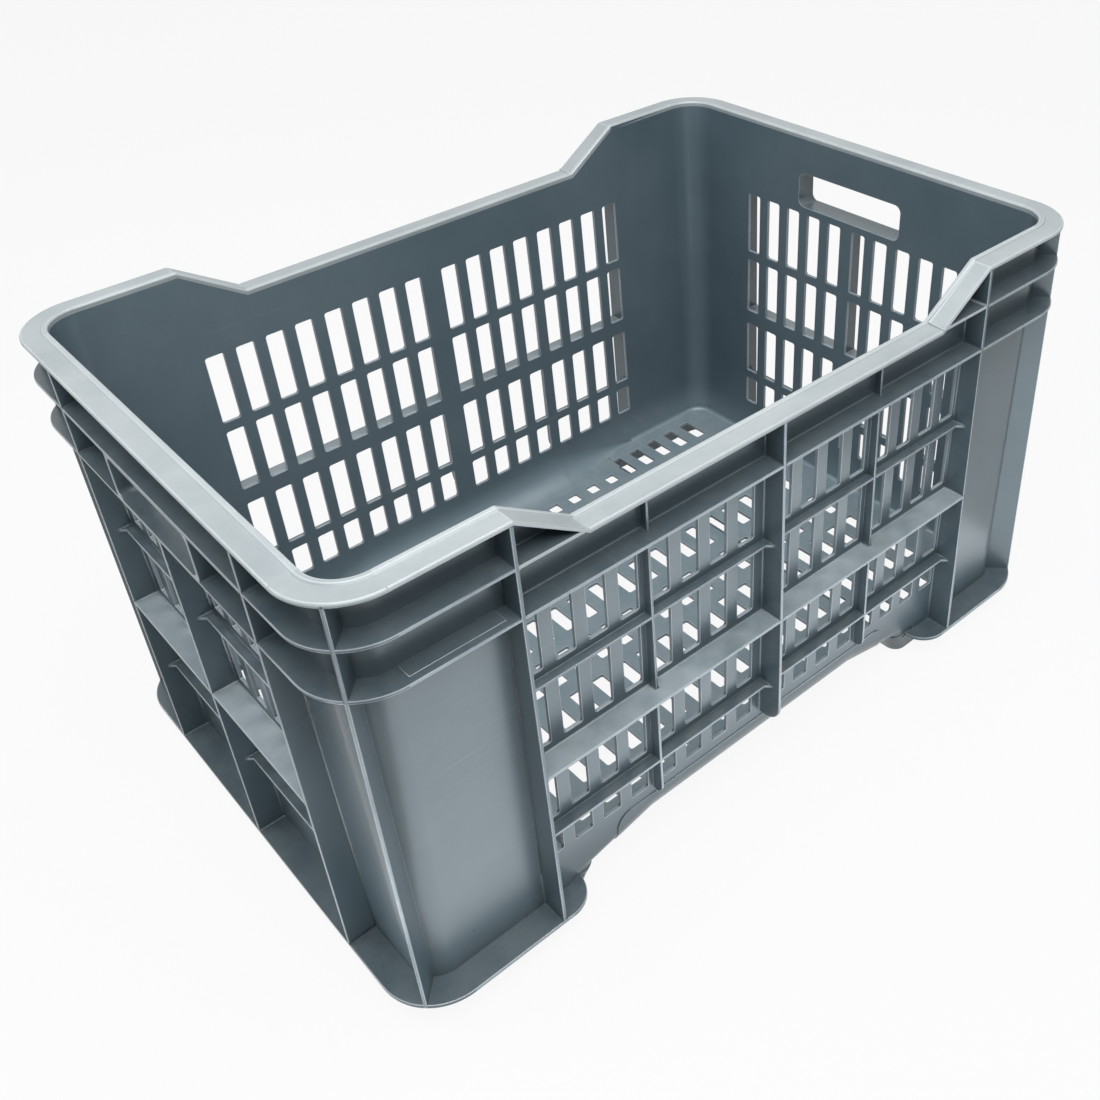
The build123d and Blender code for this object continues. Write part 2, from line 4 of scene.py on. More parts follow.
import bmesh
import bpy
from mathutils import Matrix, Vector
from mathutils.bvhtree import BVHTree
from mathutils.interpolate import poly_3d_calc


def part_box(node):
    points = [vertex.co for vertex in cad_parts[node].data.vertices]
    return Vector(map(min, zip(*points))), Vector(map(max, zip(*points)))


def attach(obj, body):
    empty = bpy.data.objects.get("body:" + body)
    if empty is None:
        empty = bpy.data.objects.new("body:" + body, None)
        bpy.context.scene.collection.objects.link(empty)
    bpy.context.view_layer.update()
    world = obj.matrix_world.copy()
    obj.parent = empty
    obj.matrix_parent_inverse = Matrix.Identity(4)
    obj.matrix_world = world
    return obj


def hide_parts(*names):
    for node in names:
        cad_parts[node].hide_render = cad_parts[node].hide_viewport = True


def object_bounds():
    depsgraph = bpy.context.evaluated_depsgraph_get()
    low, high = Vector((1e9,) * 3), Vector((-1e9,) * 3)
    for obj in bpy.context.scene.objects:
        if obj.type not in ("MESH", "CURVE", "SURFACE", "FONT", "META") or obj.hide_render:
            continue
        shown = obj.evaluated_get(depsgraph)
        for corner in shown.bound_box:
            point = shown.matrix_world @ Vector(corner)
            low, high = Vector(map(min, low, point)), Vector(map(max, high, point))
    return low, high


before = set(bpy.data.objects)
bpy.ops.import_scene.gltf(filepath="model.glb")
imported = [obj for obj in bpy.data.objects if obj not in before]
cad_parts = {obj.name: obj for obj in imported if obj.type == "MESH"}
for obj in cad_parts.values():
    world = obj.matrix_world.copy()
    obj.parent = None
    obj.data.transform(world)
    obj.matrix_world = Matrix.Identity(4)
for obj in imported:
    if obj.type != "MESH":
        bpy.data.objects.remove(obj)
cad_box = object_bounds()

MM = 0.001
EDGE_ROUND = 0.5 * MM          # rounding that the mould leaves on every free edge
ROOT_FILLET = 1.1 * MM         # fillet where a rib or ledge grows out of a wall
SHARP = radians(24)            # edges turning more than this count as corners
CREASE = radians(42)           # edges turning more than this are shaded as a break
FLAT_STEP = radians(0.5)       # facets turning less than this are joined into one face
MERGE = 0.07 * MM              # corners nearer than this become one
SLIVER = 0.02 * MM             # facets thinner than this are dropped
FEEL = 0.6 * MM                # step into a face, to feel for a neighbour
LEAST_ROUNDED = 0.5 * MM       # shorter edges of plain nodes are left sharp
LEAST_ROOT = 3 * MM            # shorter roots get no fillet
LEAST_BREADTH = 2.1 * EDGE_ROUND   # narrower faces have no room for a rounding on each side
ON_FACE = 0.05 * MM            # a place nearer than this to a face lies on it
SUNK = 0.05 * MM               # fillets reach this far into what they join
TOUCH = 0.1 * MM               # two pieces nearer than this are moulded together
ROUND_MARK = 1.0               # value of the "edge" attribute on roundings, which are rubbed most and take the most painted highlight
THIN_MARK = 0.65               # its value on the thin outer edges of ribs and ledges, part rubbing and part painted highlight
ROOT_MARK = 0.02               # its value on fillets, which do not wear
THIN_EDGE = 2.4 * MM           # a face narrower than this, between two long roundings, is a thin edge
LONG_SIDE = 8 * MM             # a rounding longer than this is a long one
NUDGE = 0.15 * MM              # step from a corner into its face, before the surface is looked up
FINE_NODES = ("grille", "floor_grid")   # nodes with many small slot corners
SLOT_CORNER_STEP = radians(11)
ROUND_NODES = ("corner_post", "rim_corner", "bottom_cove", "foot_ring")   # nodes with large curved faces
SEAT = 17 * MM                 # the plinth's underside, above the ground
MOUTH_EDGE = 17 * MM           # from the outline to the inside of the mouth
SKIN = 0.5 * MM                # a place this near to the room counts as its wall
OUTLINE_ROUND = 40 * MM        # radius of the outline's corners
DRAFT, RISE = 4.8 * MM, 318 * MM   # each wall leans out by the draft over the rise from seat to rim
FLOOR_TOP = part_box("floor_grid")[1].z
RAMP_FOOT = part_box("front_rim_dip")[1].z + 0.5 * MM
RIM_LIP = 4.5 * MM             # narrower faces of the rim are its lips, with the same painted highlight as its top
LIP_HEIGHT = 5 * MM            # taller narrow faces of the rim's corners are not lips

scene = bpy.context.scene
scene.view_settings.view_transform = "Standard"


# ---------------------------------------------------------------- shared plastic effects

def new_group(name, inputs, outputs):
    """A shader node group with its sockets made, and its two end nodes."""
    tree = bpy.data.node_groups.new(name, "ShaderNodeTree")
    for label, kind, value in inputs:
        socket = tree.interface.new_socket(label, in_out="INPUT", socket_type=kind)
        socket.default_value = value
    for label, kind in outputs:
        tree.interface.new_socket(label, in_out="OUTPUT", socket_type=kind)
    return tree, tree.nodes.new("NodeGroupInput"), tree.nodes.new("NodeGroupOutput")


def wire(tree, kind, links=None, **settings):
    """One node, with its settings made and its inputs linked or set."""
    node = tree.nodes.new(kind)
    for key, value in settings.items():
        setattr(node, key, value)
    for key, value in (links or {}).items():
        if isinstance(value, bpy.types.NodeSocket):
            tree.links.new(value, node.inputs[key])
        else:
            node.inputs[key].default_value = value
    return node


def moulded_grain():
    """Fine texture of a moulded skin: a height for the bump and a slow blotchiness."""
    tree, given, made = new_group(
        "moulded_grain",
        [("Grain Scale", "NodeSocketFloat", 1500.0), ("Blotch Scale", "NodeSocketFloat", 14.0)],
        [("Height", "NodeSocketFloat"), ("Blotch", "NodeSocketFloat")])
    place = wire(tree, "ShaderNodeTexCoord").outputs["Object"]
    grain = wire(tree, "ShaderNodeTexNoise", {"Vector": place, "Scale": given.outputs["Grain Scale"],
                                              "Detail": 2.0, "Roughness": 0.55})
    swell = wire(tree, "ShaderNodeTexNoise", {"Vector": place, "Scale": 55.0, "Detail": 2.0})
    height = wire(tree, "ShaderNodeMath", {0: swell.outputs["Fac"], 1: 1.6, 2: grain.outputs["Fac"]},
                  operation="MULTIPLY_ADD")
    blotch = wire(tree, "ShaderNodeTexNoise", {"Vector": place, "Scale": given.outputs["Blotch Scale"],
                                               "Detail": 5.0, "Roughness": 0.62})
    tree.links.new(height.outputs[0], made.inputs["Height"])
    tree.links.new(blotch.outputs["Fac"], made.inputs["Blotch"])
    return tree


def handling_scuffs():
    """Fine straight scratches and rubbed patches that handling leaves."""
    tree, given, made = new_group(
        "handling_scuffs",
        [("Scratch Level", "NodeSocketFloat", 0.73), ("Rub Amount", "NodeSocketFloat", 0.5)],
        [("Scratch", "NodeSocketFloat"), ("Rub", "NodeSocketFloat")])
    place = wire(tree, "ShaderNodeTexCoord").outputs["Object"]
    lines = []
    for turn, stretch in (((0.3, 0.9, 0.5), (14, 800, 800)), ((1.1, 0.2, 1.4), (900, 18, 900))):
        turned = wire(tree, "ShaderNodeMapping", {"Vector": place, "Rotation": turn, "Scale": stretch})
        streaks = wire(tree, "ShaderNodeTexNoise", {"Vector": turned.outputs[0], "Scale": 1.0, "Detail": 0.0})
        line = wire(tree, "ShaderNodeMapRange", {"Value": streaks.outputs["Fac"],
                                                 "From Min": given.outputs["Scratch Level"], "From Max": 0.86})
        lines.append(line.outputs[0])
    either = wire(tree, "ShaderNodeMath", {0: lines[0], 1: lines[1]}, operation="MAXIMUM")
    here = wire(tree, "ShaderNodeTexNoise", {"Vector": place, "Scale": 9.0, "Detail": 3.0})
    gate = wire(tree, "ShaderNodeMapRange", {"Value": here.outputs["Fac"], "From Min": 0.45, "From Max": 0.65})
    scratch = wire(tree, "ShaderNodeMath", {0: either.outputs[0], 1: gate.outputs[0]}, operation="MULTIPLY")
    patch = wire(tree, "ShaderNodeTexNoise", {"Vector": place, "Scale": 8.0, "Detail": 2.0, "Roughness": 0.5})
    rub = wire(tree, "ShaderNodeMapRange", {"Value": patch.outputs["Fac"], "From Min": 0.3, "From Max": 0.8,
                                            "To Max": given.outputs["Rub Amount"]})
    tree.links.new(scratch.outputs[0], made.inputs["Scratch"])
    tree.links.new(rub.outputs[0], made.inputs["Rub"])
    return tree


def edge_wear_and_highlight():
    """Paler plastic along edges, part rubbing and part a painted highlight where edges catch light, broken up by
    a noise.
    """
    tree, given, made = new_group("edge_wear_and_highlight", [("Wear", "NodeSocketFloat", 0.6)],
                                  [("Mask", "NodeSocketFloat")])
    place = wire(tree, "ShaderNodeTexCoord").outputs["Object"]
    edge = wire(tree, "ShaderNodeAttribute", attribute_name="edge", attribute_type="GEOMETRY")
    chips = wire(tree, "ShaderNodeTexNoise", {"Vector": place, "Scale": 30.0, "Detail": 3.0, "Roughness": 0.6})
    broken = wire(tree, "ShaderNodeMapRange", {"Value": chips.outputs["Fac"], "From Min": 0.3, "From Max": 0.65,
                                               "To Min": 0.65})
    mask = wire(tree, "ShaderNodeMath", {0: edge.outputs["Fac"], 1: broken.outputs[0]}, operation="MULTIPLY")
    scaled = wire(tree, "ShaderNodeMath", {0: mask.outputs[0], 1: given.outputs["Wear"]}, operation="MULTIPLY",
                  use_clamp=True)
    tree.links.new(scaled.outputs[0], made.inputs["Mask"])
    return tree


def settled_dust():
    """Field dust lying on what faces up."""
    tree, given, made = new_group("settled_dust", [("Amount", "NodeSocketFloat", 0.3)],
                                  [("Mask", "NodeSocketFloat")])
    place = wire(tree, "ShaderNodeTexCoord").outputs["Object"]
    facing = wire(tree, "ShaderNodeSeparateXYZ", {0: wire(tree, "ShaderNodeNewGeometry").outputs["Normal"]})
    upward = wire(tree, "ShaderNodeMapRange", {"Value": facing.outputs["Z"], "From Min": 0.55, "From Max": 1.0})
    drift = wire(tree, "ShaderNodeTexNoise", {"Vector": place, "Scale": 38.0, "Detail": 7.0, "Roughness": 0.7})
    specks = wire(tree, "ShaderNodeMapRange", {"Value": drift.outputs["Fac"], "From Min": 0.38, "From Max": 0.68})
    lying = wire(tree, "ShaderNodeMath", {0: upward.outputs[0], 1: specks.outputs[0]}, operation="MULTIPLY")
    mask = wire(tree, "ShaderNodeMath", {0: lying.outputs[0], 1: given.outputs["Amount"]}, operation="MULTIPLY")
    tree.links.new(mask.outputs[0], made.inputs["Mask"])
    return tree


def low_down():
    """How near a place is to the crate's floor, where the inside plastic is made paler."""
    tree, given, made = new_group("low_down", [("Reach", "NodeSocketFloat", 0.06)], [("Mask", "NodeSocketFloat")])
    height = wire(tree, "ShaderNodeSeparateXYZ", {0: wire(tree, "ShaderNodeTexCoord").outputs["Object"]})
    near = wire(tree, "ShaderNodeMapRange", {"Value": height.outputs["Z"], "From Min": given.outputs["Reach"],
                                             "From Max": FLOOR_TOP}, interpolation_type="SMOOTHSTEP")
    tree.links.new(near.outputs[0], made.inputs["Mask"])
    return tree


DUST_COLOUR = (0.34, 0.35, 0.34)
GRAIN, SCUFFS, WEAR_AND_HIGHLIGHT, DUST, LOW = moulded_grain(), handling_scuffs(), edge_wear_and_highlight(), settled_dust(), low_down()


def slate_plastic(name, deep, pale, wear_and_highlight_mark, shine, wear_and_highlight, dust, grain=1500.0, rub=0.5, low=None):
    """Satin slate plastic: deep and pale are the two ends of its blotchiness, low its tint near the floor."""
    finish = bpy.data.materials.new(name)
    finish.use_nodes = True
    tree = finish.node_tree
    skin = tree.nodes["Principled BSDF"]

    def effect(group, **values):
        node = tree.nodes.new("ShaderNodeGroup")
        node.node_tree = group
        for key, value in values.items():
            node.inputs[key.replace("_", " ")].default_value = value
        return node

    def blend(mask, under, over):
        mix = wire(tree, "ShaderNodeMix", {"Factor": mask}, data_type="RGBA")
        tree.links.new(under, mix.inputs[6])
        mix.inputs[7].default_value = (*over, 1)
        return mix.outputs[2]

    moulded = effect(GRAIN, Grain_Scale=grain)
    handled = effect(SCUFFS, Rub_Amount=rub)
    edges = effect(WEAR_AND_HIGHLIGHT, Wear=wear_and_highlight)
    dusty = effect(DUST, Amount=dust)
    tint = wire(tree, "ShaderNodeValToRGB", {"Fac": moulded.outputs["Blotch"]})
    tint.color_ramp.elements[0].position, tint.color_ramp.elements[1].position = 0.32, 0.70
    tint.color_ramp.elements[0].color = (*deep, 1)
    tint.color_ramp.elements[1].color = (*pale, 1)
    # Scratches, and the edge mask, which is part rubbing and part a painted highlight.
    marks = wire(tree, "ShaderNodeMath", {0: handled.outputs["Scratch"], 1: 0.09, 2: edges.outputs["Mask"]},
                 operation="MULTIPLY_ADD", use_clamp=True)
    colour = tint.outputs["Color"]
    if low:
        colour = blend(effect(LOW).outputs["Mask"], colour, low)
    colour = blend(marks.outputs[0], colour, wear_and_highlight_mark)
    colour = blend(dusty.outputs["Mask"], colour, DUST_COLOUR)
    tree.links.new(colour, skin.inputs["Base Color"])
    dull = wire(tree, "ShaderNodeMath", {0: handled.outputs["Rub"], 1: 0.14, 2: shine}, operation="MULTIPLY_ADD")
    duller = wire(tree, "ShaderNodeMath", {0: dusty.outputs["Mask"], 1: 0.35, 2: dull.outputs[0]},
                  operation="MULTIPLY_ADD", use_clamp=True)
    tree.links.new(duller.outputs[0], skin.inputs["Roughness"])
    relief = wire(tree, "ShaderNodeBump", {"Strength": 0.12, "Distance": 0.0004,
                                           "Height": moulded.outputs["Height"]})
    tree.links.new(relief.outputs[0], skin.inputs["Normal"])
    skin.inputs["IOR"].default_value = 1.5
    skin.inputs["Specular IOR Level"].default_value = 0.75
    skin.inputs["Specular Tint"].default_value = (0.90, 0.97, 1.0, 1)
    return finish


OUTSIDE_PLASTIC = slate_plastic("slate_plastic_outside", (0.054, 0.077, 0.090), (0.072, 0.098, 0.112),
                                (0.40, 0.44, 0.47), 0.26, 0.70, 0.12)
# The inside plastic turns paler towards the floor.
INSIDE_PLASTIC = slate_plastic("slate_plastic_inside", (0.056, 0.084, 0.102), (0.074, 0.105, 0.124),
                               (0.30, 0.34, 0.37), 0.34, 0.60, 0.20, low=(0.132, 0.176, 0.200))
# Painted light: a much paler slate with strong pale patches, for the tops of the middle ledges, where light falls
# on them through the slots.
LEDGE_PAINTED_LIGHT = slate_plastic("slate_plastic_ledge_painted_light", (0.135, 0.172, 0.190), (0.290, 0.335, 0.360),
                              (0.42, 0.46, 0.49), 0.34, 0.70, 0.20)
# Painted highlight: a much paler slate for the rim's top and lips, where light falls on them.
RIM_PAINTED_HIGHLIGHT = slate_plastic("slate_plastic_rim_painted_highlight", (0.210, 0.236, 0.248), (0.285, 0.310, 0.318),
                            (0.46, 0.49, 0.50), 0.38, 0.45, 0.20, grain=900.0, rub=0.8)


# ---------------------------------------------------------------- the moulded pieces

def all_node_faces():
    """A search tree of every node's faces, and which node each face belongs to."""
    points, faces, owner = [], [], []
    for name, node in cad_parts.items():
        first = len(points)
        points.extend(v.co.copy() for v in node.data.vertices)
        for face in node.data.polygons:
            faces.append([first + i for i in face.vertices])
            owner.append(name)
    return BVHTree.FromPolygons(points, faces), owner


NEAR_FACES, FACE_OWNER = all_node_faces()


def touches_neighbour(point, own):
    """Whether another node than its own lies at a point."""
    return any(FACE_OWNER[index] != own for _, _, index, _ in NEAR_FACES.find_nearest_range(point, TOUCH))


def into_face(edge, face):
    """Direction in the plane of a face, square to its edge and pointing into it."""
    for loop in edge.link_loops:
        if loop.face == face:
            run = loop.link_loop_next.vert.co - loop.vert.co
            return face.normal.cross(run).normalized()


def root_strip(mesh, start, end, wall_way, rib_way):
    """A small concave fillet along the line where a rib stands on its wall."""
    hub = start + ROOT_FILLET * (wall_way + rib_way)
    profile = [mesh.verts.new(start - SUNK * (wall_way + rib_way))]
    for step in range(5):
        turn = step / 4 * pi / 2
        profile.append(mesh.verts.new(hub - ROOT_FILLET * (rib_way * cos(turn) + wall_way * sin(turn))))
    grown = bmesh.ops.extrude_face_region(mesh, geom=[mesh.faces.new(profile)])
    moved = [g for g in grown["geom"] if isinstance(g, bmesh.types.BMVert)]
    bmesh.ops.translate(mesh, verts=moved, vec=end - start)


def add_roots(mesh, name, roots, wear_and_highlight_mark):
    """Adds the root fillets of one node to its mesh."""
    strips = bmesh.new()
    for root in roots:
        root_strip(strips, *root)
    bmesh.ops.recalc_face_normals(strips, faces=strips.faces)
    shape = bpy.data.meshes.new(name + "_roots")
    strips.to_mesh(shape)
    strips.free()
    plain = set(mesh.faces)
    mesh.from_mesh(shape)
    bpy.data.meshes.remove(shape)
    for face in mesh.faces:
        if face not in plain:
            face[wear_and_highlight_mark] = ROOT_MARK


def softened(name, node):
    """A copy of a node's solid with its free edges rounded and its roots filleted."""
    mesh = bmesh.new()
    mesh.from_mesh(node.data)
    wear_and_highlight_mark = mesh.faces.layers.float.new("edge")
    bmesh.ops.remove_doubles(mesh, verts=mesh.verts, dist=MERGE)
    bmesh.ops.dissolve_degenerate(mesh, edges=mesh.edges, dist=SLIVER)
    fine = name.endswith(FINE_NODES)
    bmesh.ops.dissolve_limit(mesh, angle_limit=SLOT_CORNER_STEP if fine else FLAT_STEP,
                             use_dissolve_boundaries=False, verts=mesh.verts, edges=mesh.edges)
    mesh.normal_update()
    own = BVHTree.FromPolygons([vertex.co.copy() for vertex in node.data.vertices],
                               [list(face.vertices) for face in node.data.polygons])

    def broad(middle, way, face):
        """Whether a face is broad enough for a rounding along its edge."""
        _, facing, _, away = own.find_nearest(middle + way * LEAST_BREADTH)
        return away < ON_FACE and facing.dot(face.normal) > 0.9

    free, roots = [], []
    for edge in mesh.edges:
        if len(edge.link_faces) != 2 or edge.calc_face_angle(0.0) < SHARP:
            continue
        start, end = (vertex.co.copy() for vertex in edge.verts)
        middle, length = (start + end) / 2, edge.calc_length()
        ways = [into_face(edge, face) for face in edge.link_faces]
        held = [touches_neighbour(middle + way * FEEL, name) for way in ways]
        if not any(held):
            if fine or length > LEAST_ROUNDED and all(broad(middle, way, face)
                                                      for way, face in zip(ways, edge.link_faces)):
                free.append(edge)
        elif not all(held) and length > LEAST_ROOT:
            wall_side = 0 if held[0] else 1
            wall_way, rib_way = -ways[wall_side], ways[1 - wall_side]
            spots = middle, start.lerp(end, 0.1), start.lerp(end, 0.9)
            on_wall = all(touches_neighbour(spot + wall_way * ROOT_FILLET, name) for spot in spots)
            if on_wall and abs(wall_way.dot(rib_way)) < 0.5:
                roots.append((start, end, wall_way, rib_way))
    rounded = bmesh.ops.bevel(mesh, geom=free, offset=EDGE_ROUND, offset_type="OFFSET", segments=2,
                              profile=0.5, affect="EDGES", clamp_overlap=False, material=-1)
    # Convex roundings and thin outer edges are marked for the paler edge colour: part rubbing, part a painted
    # highlight.
    for face in rounded["faces"]:
        centre = face.calc_center_median()
        spot, facing, _, _ = own.find_nearest(centre)
        face[wear_and_highlight_mark] = ROUND_MARK if facing.dot(centre - spot) < 0 else ROOT_MARK
    for face in mesh.faces:
        if face[wear_and_highlight_mark] == 0.0 and narrow(face, wear_and_highlight_mark):
            face[wear_and_highlight_mark] = THIN_MARK
    add_roots(mesh, name, roots, wear_and_highlight_mark)
    return mesh


def breadth(face):
    """Mean breadth of a long face."""
    return face.calc_area() / max(edge.calc_length() for edge in face.edges)


def narrow(face, wear_and_highlight_mark):
    """Whether a face is the thin outer edge of a rib or ledge, with a rounding along both its sides."""
    rounded = [edge.calc_length() for edge in face.edges
               if any(other[wear_and_highlight_mark] == ROUND_MARK for other in edge.link_faces)]
    return sum(length > LONG_SIDE for length in rounded) > 1 and breadth(face) < THIN_EDGE


def lies_inside(place):
    """Whether a place lies in the crate's round-cornered room or on its inner walls."""
    setback = MOUTH_EDGE + DRAFT * (1 - (place.z - SEAT) / RISE)
    corner = OUTLINE_ROUND - setback
    past = [max(abs(value) - (high - setback - corner), 0) for value, high in zip(place.xy, cad_box[1].xy)]
    return Vector(past).length < corner + SKIN and place.z > FLOOR_TOP - SKIN


def plastic_of(name, face):
    """The finish of one face: painted light on the tops of the middle ledges, a painted highlight on top of the
    rim and on its lips, dark inside, else slate.
    """
    centre = face.calc_center_median()
    # The upward faces of the middle ledges take the painted light.
    if name.endswith("middle_ledge") and face.normal.z > 0.6:
        return LEDGE_PAINTED_LIGHT
    # The rim's upward faces and its narrow lips take its painted highlight.
    if "rim" in name.split("_"):
        on_top = face.normal.z > 0.3 and (centre.z > RAMP_FOOT or not name.endswith("tower"))
        heights = [vertex.co.z for vertex in face.verts]
        low_lip = max(heights) - min(heights) < LIP_HEIGHT or not name.endswith("corner")
        if on_top or (face.normal.z > -0.3 and breadth(face) < RIM_LIP and low_lip):
            return RIM_PAINTED_HIGHLIGHT
    return INSIDE_PLASTIC if name == "floor_grid" or lies_inside(centre) else OUTSIDE_PLASTIC


def cad_surface(node):
    """A node's faces in a search tree, with the smooth directions at their corners."""
    shape = node.data
    places = [vertex.co.copy() for vertex in shape.vertices]
    corners = [list(face.vertices) for face in shape.polygons]
    ways = [[shape.corner_normals[i].vector.copy() for i in face.loop_indices] for face in shape.polygons]
    return BVHTree.FromPolygons(places, corners), places, corners, ways


def surface_way(surface, place, facing):
    """Smooth direction of a node's surface at a place on a face that looks this way."""
    tree, places, corners, ways = surface
    spot, _, index, _ = tree.find_nearest(place)
    weights = poly_3d_calc([places[i] for i in corners[index]], spot)
    way = sum((weight * corner for weight, corner in zip(weights, ways[index])), Vector()).normalized()
    return way if way.dot(facing) > 0.9 else facing


def true_curves(shape, node):
    """Shades a piece with the smooth directions of its node's curved faces, rounded edges between them."""
    surface = cad_surface(node)
    wear_and_highlight_mark = [item.value for item in shape.attributes["edge"].data]
    ways = [Vector() for _ in shape.loops]
    known = {}
    for face in shape.polygons:
        if wear_and_highlight_mark[face.index] in (ROUND_MARK, ROOT_MARK):
            continue
        for loop in face.loop_indices:
            vertex = shape.loops[loop].vertex_index
            place = shape.vertices[vertex].co
            nudged = place + (face.center - place).normalized() * NUDGE
            ways[loop] = surface_way(surface, nudged, face.normal)
            known.setdefault(vertex, []).append(ways[loop])
    for face in shape.polygons:
        if wear_and_highlight_mark[face.index] == ROUND_MARK:
            for loop in face.loop_indices:
                choices = known.get(shape.loops[loop].vertex_index)
                if choices:
                    ways[loop] = max(choices, key=face.normal.dot)
    shape.normals_split_custom_set(ways)


def finish_piece(mesh, name, plastics, node=None):
    """Turns a mesh into a piece of the crate that rides on its body; plastics gives each face its finish."""
    mesh.normal_update()
    used = []
    for face in mesh.faces:
        face.smooth = True
        plastic = plastics(face)
        if plastic not in used:
            used.append(plastic)
        face.material_index = used.index(plastic)
    for edge in mesh.edges:
        edge.smooth = len(edge.link_faces) == 2 and edge.calc_face_angle(0.0) < CREASE
    shape = bpy.data.meshes.new(name)
    mesh.to_mesh(shape)
    mesh.free()
    for plastic in used:
        shape.materials.append(plastic)
    piece = bpy.data.objects.new(name, shape)
    scene.collection.objects.link(piece)
    if node and name.endswith(ROUND_NODES):
        true_curves(shape, node)
    else:
        flat = piece.modifiers.new("flat_faces", "WEIGHTED_NORMAL")
        flat.keep_sharp = True
    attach(piece, "root")
    return piece


for name, node in list(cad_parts.items()):
    moulded = finish_piece(softened(name, node), "moulded_" + name, lambda face: plastic_of(name, face), node)
    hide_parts(name)


# ---------------------------------------------------------------- floor fillets and ledge pad

FLOOR_FILLET = 3.5 * MM        # radius between floor and walls
FILLET_START = 186 * MM        # beyond the ends of the coves
FLOOR_ROUND = 18.2 * MM        # radius of the floor's corners
CORNER_STEPS = 27              # facets of the fillet round one of them
PAD_ENDS = (-257.5 * MM, -199.5 * MM)   # along the length
PAD_FRONT = -195.6 * MM        # across the width
PAD_RISE = 0.6 * MM            # above its ledge
PAD_SINK = 0.2 * MM            # into its ledge
PAD_ROUND = 0.3 * MM           # rounding of its upper edges


def floor_fillet(side):
    """Concave fillet round the floor at one end of the crate, from one long wall to the other."""
    half_length, half_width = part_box("floor_grid")[1][:2]
    mesh = bmesh.new()
    start = mesh.verts.new((FILLET_START, -half_width - SUNK, FLOOR_TOP + FLOOR_FILLET))
    hub = (FILLET_START, FLOOR_FILLET - half_width - SUNK, FLOOR_TOP + FLOOR_FILLET)
    bmesh.ops.spin(mesh, geom=[start], cent=hub, axis=(1, 0, 0), angle=pi / 2, steps=5)
    mesh.verts.new((FILLET_START, -half_width - 3 * SUNK, FLOOR_TOP - 3 * SUNK))
    tip = mesh.faces.new(list(mesh.verts))
    straight_end, straight_side = half_length - FLOOR_ROUND - FILLET_START, 2 * (half_width - FLOOR_ROUND)
    axis_x, axis_y = half_length - FLOOR_ROUND, half_width - FLOOR_ROUND

    def run(face, vector):
        grown = bmesh.ops.extrude_face_region(mesh, geom=[face])["geom"]
        bmesh.ops.translate(mesh, vec=vector, verts=[g for g in grown if isinstance(g, bmesh.types.BMVert)])
        return [g for g in grown if isinstance(g, bmesh.types.BMFace)][0]

    def corner(face, centre):
        turned = bmesh.ops.spin(mesh, geom=[face], cent=centre, axis=(0, 0, 1), angle=pi / 2, steps=CORNER_STEPS)
        return [g for g in turned["geom_last"] if isinstance(g, bmesh.types.BMFace)][0]

    tip = run(tip, (straight_end, 0, 0))
    tip = corner(tip, (axis_x, -axis_y, 0))
    tip = run(tip, (0, straight_side, 0))
    tip = corner(tip, (axis_x, axis_y, 0))
    run(tip, (-straight_end, 0, 0))
    left_inside = [face for face in mesh.faces if all(len(edge.link_faces) > 2 for edge in face.edges)]
    bmesh.ops.delete(mesh, geom=left_inside, context="FACES_ONLY")
    if side < 0:
        bmesh.ops.rotate(mesh, cent=(0, 0, 0), matrix=Matrix.Rotation(pi, 3, "Z"), verts=mesh.verts)
    bmesh.ops.recalc_face_normals(mesh, faces=mesh.faces)
    return mesh


for name, side in (("left", -1), ("right", 1)):
    finish_piece(floor_fillet(side), f"floor_fillet_{name}", lambda face: INSIDE_PLASTIC)


def ledge_pad():
    """Low pad moulded on the shoulder ledge beside the front left corner."""
    wall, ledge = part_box("front_left_shoulder_ledge")[1][1:]
    low = (PAD_ENDS[0], PAD_FRONT, ledge - PAD_SINK)
    high = (PAD_ENDS[1], wall, ledge + PAD_RISE)
    mesh = bmesh.new()
    wear_and_highlight_mark = mesh.faces.layers.float.new("edge")
    bmesh.ops.create_cube(mesh, size=1.0)
    for vertex in mesh.verts:
        vertex.co = [high[i] if vertex.co[i] > 0 else low[i] for i in range(3)]
    upper = [edge for edge in mesh.edges if all(vertex.co.z > ledge for vertex in edge.verts)]
    rounded = bmesh.ops.bevel(mesh, geom=upper, offset=PAD_ROUND, offset_type="OFFSET", segments=2,
                              profile=0.5, affect="EDGES", clamp_overlap=True, material=-1)
    for face in rounded["faces"]:
        face[wear_and_highlight_mark] = ROUND_MARK
    bmesh.ops.recalc_face_normals(mesh, faces=mesh.faces)
    return mesh


finish_piece(ledge_pad(), "shoulder_ledge_pad", lambda face: OUTSIDE_PLASTIC)


# ---------------------------------------------------------------- floor, light and camera

WHITE_SHARE = 0.92             # part of the floor's white that the shadow does not dim
TABLE_TINT = (0.88, 0.955, 1.0)   # light thrown up by the table


def white_for_seen_rays(tree):
    """1 for rays from the camera, from gloss and through clear things, 0 for others."""
    path = tree.nodes.new("ShaderNodeLightPath")
    seen = wire(tree, "ShaderNodeMath", {0: path.outputs["Is Camera Ray"], 1: path.outputs["Is Glossy Ray"]},
                operation="MAXIMUM")
    return wire(tree, "ShaderNodeMath", {0: seen.outputs[0], 1: path.outputs["Is Transmission Ray"]},
                operation="MAXIMUM").outputs[0]


